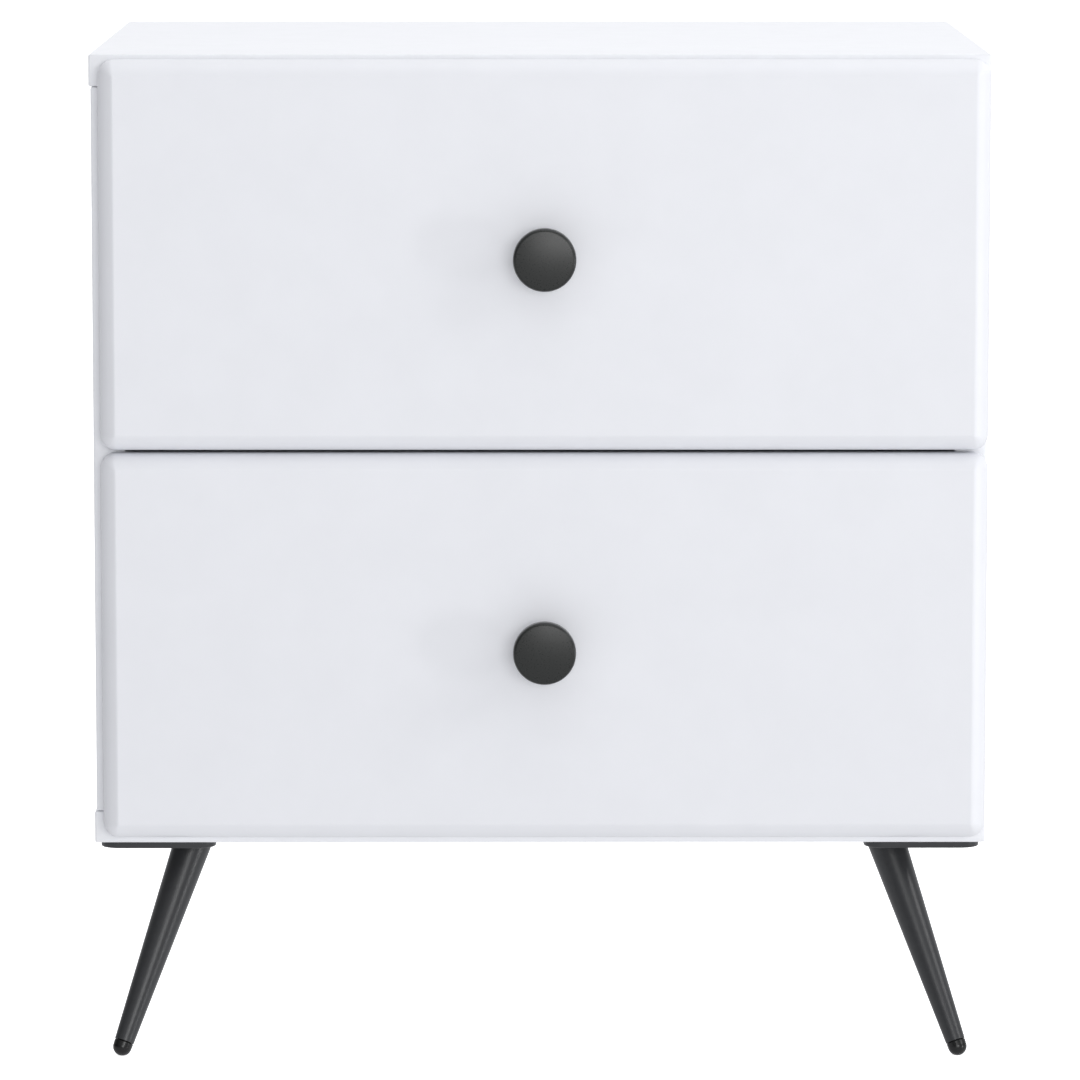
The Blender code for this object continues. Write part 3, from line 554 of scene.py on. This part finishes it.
def head(radius, height, sides):
    """A screw head's rings from its rim to its middle, hanging below z = 0, or level with it if it is flat.

    At a share q of its radius, it hangs by height * sqrt(1 - 0.7 q^4), less a crossed recess that is
    smoothstep-deep inside the cross's arms and shallower towards their ends.
    """
    q = np.array((
        1.0, 0.995, 0.97, 0.9, 0.8, 0.7, 0.6, 0.52, 0.45, 0.38, 0.3, 0.22, 0.14, 0.06, 0.0))[:, None]
    a = np.linspace(0, 2 * np.pi, sides, endpoint=False)
    x, y = radius * q * np.cos(a), radius * q * np.sin(a)
    crown = height * np.sqrt(1 - 0.7 * q**4)
    narrow, wide = np.minimum(abs(x), abs(y)), np.maximum(abs(x), abs(y))
    inside = np.clip((CROSS_WIDTH / 2 - narrow) / (CROSS_WIDTH * 0.2) + 0.5, 0, 1)
    inside = inside**2 * (3 - 2 * inside) * np.clip(1 - wide / (CROSS_LENGTH / 2), 0, 1) ** 0.5
    return np.stack((x, y, -(crown - CROSS_DEPTH * inside)), -1)


def threaded(neck, length):
    """A screw's shank about Z, from its tip down to its neck.

    Its radius is r + d (2 |2 p - 1| - 1) with a phase p = frac(z / pitch - a / 2 pi), fading in at the neck.
    """
    a = np.linspace(0, 2 * np.pi, SCREW_SIDES, endpoint=False)
    z = np.arange(neck, length - TIP_TAPER, THREAD_PITCH / 6)[::-1, None]
    phase = np.mod(z / THREAD_PITCH - a / (2 * np.pi), 1)
    r = SHANK + THREAD_DEPTH * (2 * abs(2 * phase - 1) - 1) * np.clip((z - neck) / THREAD_PITCH, 0, 1)
    tip = turned([(0, length), (SHANK * TIP_RADIUS, length - TIP_BLUNT)], SCREW_SIDES)
    return np.concatenate((tip, np.stack((r * np.cos(a), r * np.sin(a), z + 0 * a), -1)))


def pan_screw(length):
    """A screw whose head hangs below the origin, and whose shank rises from it."""
    seat = turned([(SHANK * 1.02, 0), (PAN_HEAD * 0.97, 0), (PAN_HEAD, -PAN_EDGE)], SCREW_SIDES)
    return np.concatenate((threaded(0, length), seat, head(PAN_HEAD, PAN_HEIGHT, SCREW_SIDES)))


def sunk_screw(length):
    """A screw that stands on its sunk head's flat face. A cone of 90 degrees runs from there to the shank."""
    rim = turned([(SUNK_HEAD, SUNK_LAND), (SUNK_HEAD, SUNK_EASE)], SCREW_SIDES)
    face = head(SUNK_HEAD - SUNK_EASE, 0, SCREW_SIDES)
    return np.concatenate((threaded(SUNK_LAND + SUNK_HEAD - SHANK, length), rim, face))


def sunk_hole():
    """What a sunk screw takes out of its plate, with a little play all round."""
    wide, cone = SUNK_HEAD + PLAY, SUNK_LAND + PLAY * (math.sqrt(2) - 1)
    neck = cone + wide - SCREW_HOLE
    reach = THROUGH / 2
    return turned([(wide, -reach), (wide, cone), (SCREW_HOLE, neck), (SCREW_HOLE, reach)], HOLE_SIDES)


def knob_screw(level):
    """A pan-headed screw through the front into the knob, with its head inside the drawer."""
    low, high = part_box(f"{level}_knob_screw")
    seat = Vector(((low.x + high.x) / 2, high.y - PAN_HEIGHT, (low.z + high.z) / 2))
    rings = aimed(pan_screw(seat.y - low.y), seat, seat - Vector((0, 1, 0)))
    piece(f"{level}_pull_screw", rings, "screw", f"{level}_drawer", [f"{level}_knob_screw"], crease=40)


# ---- Runners ---------------------------------------------------------------------------------------------
# Across a runner, distances are measured inwards from the inner face of the carcass's side board.

SHEET, BEND = 0.0012, 0.0008  # the steel's thickness and the inside radius of its bends
CHANNEL_START, CHANNEL_EDGE = 0.0003, 0.0095
RAIL_WEB, RAIL_EDGE, RAIL_INNER = 0.0110, 0.0040, 0.0223
ROLLER_START, ROLLER_END, ROLLER_PLAY = 0.0030, 0.0089, 0.0003
ROLLER_HUB, ROLLER_RECESS, ROLLER_BORE_PLAY = 0.0036, 0.0007, 0.00015
ROLLER_TREAD, ROLLER_TREAD_FACE = 0.0019, 0.0014  # the tread's thickness at the recess's floor, and outside
AXLE, SHOULDER, RIVET, RIVET_THICKNESS = 0.0020, 0.0030, 0.0032, 0.0006
LOW_HEAD, LOW_HEAD_HEIGHT, LOW_HEAD_SIDES = 0.0029, 0.0006, 24
RAIL_SCREW_RISE, SCREW_SHARES = 0.0095, (0.12, 0.5, 0.86)  # above the rail, and along the runner


def runner(level, name, sign):
    """One runner: its channel and end stop, its rail, their rollers and axles, and their screws' heads."""
    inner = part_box(f"side_panel_{name}")[1 if sign < 0 else 0].x
    drawer = f"{level}_drawer"

    def x(across):
        return inner - sign * across

    low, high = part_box(f"{level}_channel_{name}")
    far, free = BEND + SHEET, SHEET * 0.3
    channel = rounded(
        [(x(CHANNEL_START), low.z), (x(CHANNEL_EDGE), low.z), (x(CHANNEL_EDGE), low.z + SHEET),
         (x(CHANNEL_START + SHEET), low.z + SHEET), (x(CHANNEL_START + SHEET), high.z - SHEET),
         (x(CHANNEL_EDGE), high.z - SHEET), (x(CHANNEL_EDGE), high.z), (x(CHANNEL_START), high.z)],
        [far, free, free, BEND, BEND, free, free, far], 4)
    piece(f"{level}_runner_channel_{name}", swept(channel, low.y, high.y), "runner_steel", "carcass",
          [f"{level}_channel_{name}"])
    stop = rounded(
        [(x(CHANNEL_START + SHEET), low.z + SHEET), (x(CHANNEL_EDGE - free), low.z + SHEET),
         (x(CHANNEL_EDGE - free), high.z - SHEET), (x(CHANNEL_START + SHEET), high.z - SHEET)],
        [BEND, free, free, BEND], 4)
    piece(f"{level}_runner_stop_{name}", swept(stop, high.y - SHEET, high.y), "runner_steel", "carcass")

    rail_low, rail_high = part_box(f"{level}_rail_{name}")
    rail = rounded(
        [(x(RAIL_WEB), rail_low.z), (x(RAIL_INNER), rail_low.z),
         (x(RAIL_INNER), rail_low.z + SHEET), (x(RAIL_WEB + SHEET), rail_low.z + SHEET),
         (x(RAIL_WEB + SHEET), rail_high.z), (x(RAIL_EDGE), rail_high.z),
         (x(RAIL_EDGE), rail_high.z - SHEET), (x(RAIL_WEB), rail_high.z - SHEET)],
        [far, free, free, free, far, free, free, BEND], 4)
    piece(f"{level}_runner_rail_{name}", swept(rail, rail_low.y, rail_high.y), "runner_steel", drawer,
          [f"{level}_rail_{name}"])

    for where, body, web, near, end in (
        ("front", "carcass", CHANNEL_START + SHEET, ROLLER_START, ROLLER_END + ROLLER_PLAY),
        ("rear", drawer, RAIL_WEB, ROLLER_END, ROLLER_START - ROLLER_PLAY),
    ):
        node_name = f"{level}_{where}_roller_{name}"
        roller_low, roller_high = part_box(node_name)
        middle = (roller_low + roller_high) / 2
        roller(node_name, middle, (roller_high.z - roller_low.z) / 2)
        shoulder = abs(near - web) - ROLLER_PLAY
        pin = abs(end - web)
        profile = rounded(
            [(0, 0), (SHOULDER, 0), (SHOULDER, shoulder), (AXLE, shoulder), (AXLE, pin), (RIVET, pin),
             (RIVET, pin + RIVET_THICKNESS), (0, pin + RIVET_THICKNESS)],
            [0, 0, 0.0001, 0, 0, 0.0001, 0.0004, 0], 4)
        start = Vector((x(web), middle.y, middle.z))
        inwards = Vector((-sign if end > web else sign, 0, 0))
        axle = aimed(turned(profile, 32), start, start + inwards)
        piece(f"{level}_{where}_axle_{name}", axle, "screw", body)

    screw = np.concatenate((
        turned([(0, 0), (LOW_HEAD, 0)], LOW_HEAD_SIDES), head(LOW_HEAD, LOW_HEAD_HEIGHT, LOW_HEAD_SIDES)))
    screw[..., 2] *= -1
    for count, share in enumerate(SCREW_SHARES, 1):
        for kind, body, across, lo, hi, height in (
            ("channel", "carcass", CHANNEL_START + SHEET, low, high, (low.z + high.z) / 2),
            ("rail", drawer, RAIL_WEB, rail_low, rail_high, rail_low.z + RAIL_SCREW_RISE),
        ):
            at = Vector((x(across), lo.y + (hi.y - lo.y) * share, height))
            outwards = Vector((-sign if kind == "channel" else sign, 0, 0))
            piece(f"{level}_{kind}_screw_{name}_{count}", aimed(screw, at, at + outwards), "screw", body)


def roller(name, middle, radius):
    """A wheel: a hub and a tread with a shallow recess between them on both faces."""
    half, bore = (ROLLER_END - ROLLER_START) / 2, AXLE + ROLLER_BORE_PLAY
    floor = half - ROLLER_RECESS
    face = [(bore, half), (ROLLER_HUB, half), (ROLLER_HUB + 0.0004, floor), (radius - ROLLER_TREAD, floor),
            (radius - ROLLER_TREAD_FACE, half), (radius, half)]
    ease = [0.0002] * 5 + [0.0006]
    profile = rounded(face + [(r, -h) for r, h in face[::-1]], ease + ease[::-1], 3)
    piece(f"{name}_wheel", aimed(turned(profile, 72), middle, middle + Vector((1, 0, 0))), "roller", name,
          [name], loop=True)


for level in LEVELS:
    front(level)
    knob(level)
    knob_screw(level)
    for name, sign in SIDES.items():
        runner(level, name, sign)
for name, (side, end) in CORNERS.items():
    leg(name, side, end)


# ---- Studio ----------------------------------------------------------------------------------------------

CAMERA = Vector((-0.0089, -3.348, 0.683))
AIM = Vector((0.0, -0.148, 0.2662))
LENS, SENSOR = 214.0, 36.0
OBJECT_MIDDLE = Vector((0.0, 0.0, 0.25))

scene = bpy.context.scene
scene.view_settings.view_transform = "Standard"

camera = bpy.data.objects.new("camera", bpy.data.cameras.new("camera"))
scene.collection.objects.link(camera)
camera.data.lens = LENS
camera.data.sensor_width = SENSOR
camera.data.clip_end = 100.0
camera.location = CAMERA
camera.rotation_euler = (AIM - CAMERA).to_track_quat("-Z", "Y").to_euler()
scene.camera = camera


def studio_sweep():
    """A round sheet of paper that glows a little: a level floor, curved up at 20 m into a wall all round.

    It throws no light on the object. The studio air does, and it is brighter from below to stand for it.
    """
    t = np.linspace(-math.pi / 2, 0, 9)
    profile = np.vstack(((0, 0), np.stack((20 + 5 * np.cos(t), 5 + 5 * np.sin(t)), -1), (25, 40)))
    made = surface("studio_sweep", turned(profile, 64), capped=False)
    paper, tree, shader, place = finish(
        "white_paper", Roughness=0.9, Emission_Color=linear("#FFFFFF"), Emission_Strength=0.85)
    mottle(tree, shader, place, ("#F4F4F4", "#F7F7F7"), 40)
    made.data.materials.append(paper)
    made.visible_diffuse = made.visible_glossy = made.visible_shadow = False


def softbox(name, place, size, power):
    """A rectangular lamp of a size in metres and a power in watts, turned to the middle of the object."""
    lamp = bpy.data.lights.new(name, "AREA")
    lamp.shape = "RECTANGLE"
    lamp.size, lamp.size_y = size
    lamp.energy = power
    made = bpy.data.objects.new(name, lamp)
    made.location = place
    made.rotation_euler = (OBJECT_MIDDLE - Vector(place)).to_track_quat("-Z", "Y").to_euler()
    scene.collection.objects.link(made)


studio_sweep()
softbox("key_upper_right", (2.4, -1.1, 1.65), (1.0, 1.0), 12)
softbox("right_strip", (2.6, -1.25, 0.1), (0.16, 0.6), 9)
softbox("top_light", (0.3, -0.2, 2.6), (2.0, 2.0), 10)
softbox("front_fill", (0.8, -4.9, 0.9), (2.4, 1.2), 48)

world = bpy.data.worlds.new("studio_air")
scene.world = world
world.use_nodes = True
air = world.node_tree
# Below the horizon the air glows like the lit floor, and above it like a bright room. Each glow leans towards
# one side: it is a level plus the direction's dot product with a vector. The room's ends are brighter too.
FLOOR_GLOW, ROOM_GLOW = ((0.08, 0.0, 0.0), 0.77), ((0.2, 0.3, 0.75), 0.08)
ROOM_ENDS, HORIZON = 0.63, 0.1
towards = node(air, "ShaderNodeTexCoord").outputs["Generated"]
parts = node(air, "ShaderNodeSeparateXYZ", {"Vector": towards}).outputs
above = node(air, "ShaderNodeMapRange", {
    "Value": parts["Z"], "From Min": -HORIZON, "From Max": HORIZON},
    interpolation_type="SMOOTHSTEP").outputs["Result"]
glows = []
for lean, level in (FLOOR_GLOW, ROOM_GLOW):
    leaning = node(air, "ShaderNodeVectorMath", {0: towards, 1: lean}, operation="DOT_PRODUCT")
    glow = node(air, "ShaderNodeMath", {0: leaning.outputs["Value"], 1: level}, operation="ADD")
    glows.append(glow.outputs[0])
ends = node(air, "ShaderNodeMath", {0: parts["Y"], 1: parts["Y"]}, operation="MULTIPLY").outputs[0]
room = node(air, "ShaderNodeMath", {0: ends, 1: ROOM_ENDS, 2: glows[1]}, operation="MULTIPLY_ADD").outputs[0]
strength = node(air, "ShaderNodeMix", {"Factor": above, "A": glows[0], "B": room})
lit = node(air, "ShaderNodeMath", {0: strength.outputs["Result"], 1: 0.0}, operation="MAXIMUM")
air.nodes["Background"].inputs["Color"].default_value = linear("#FBFCFF")
air.links.new(lit.outputs[0], air.nodes["Background"].inputs["Strength"])
